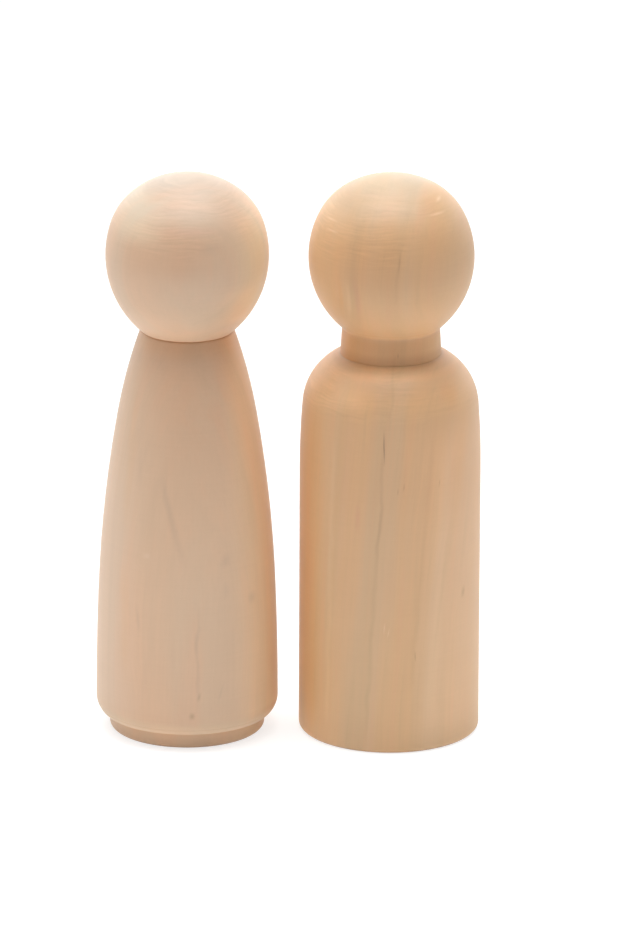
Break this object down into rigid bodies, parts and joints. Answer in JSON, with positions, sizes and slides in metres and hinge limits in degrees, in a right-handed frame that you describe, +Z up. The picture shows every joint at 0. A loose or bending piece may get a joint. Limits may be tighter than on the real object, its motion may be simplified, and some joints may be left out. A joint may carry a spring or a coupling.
{
  "type": "peg doll pair",
  "caption": "Plain turned wooden peg dolls standing side by side: a woman in a long gown on a stepped foot and a straight-bodied man with a neck, both with round blank heads, for painting.",
  "frame": {"origin": "on the table under the middle of the pair's box", "axes": "+Z up along both dolls' axes, +X from the woman to the man, and the pictured side faces -Y"},
  "size_m": [0.08, 0.038, 0.12],
  "materials": {
    "woman_wood": "bare, sanded, pale and slightly pink",
    "man_wood": "bare, sanded, warm tan"
  },
  "bodies": {
    "woman": {"woman_doll": "woman_wood"},
    "man": {"man_doll": "man_wood"}
  },
  "joints": [
    {"name": "man_lift", "type": "slide", "parent": "woman", "child": "man", "axis": [0, 0, 1], "range_m": [0, 0.125]}
  ]
}
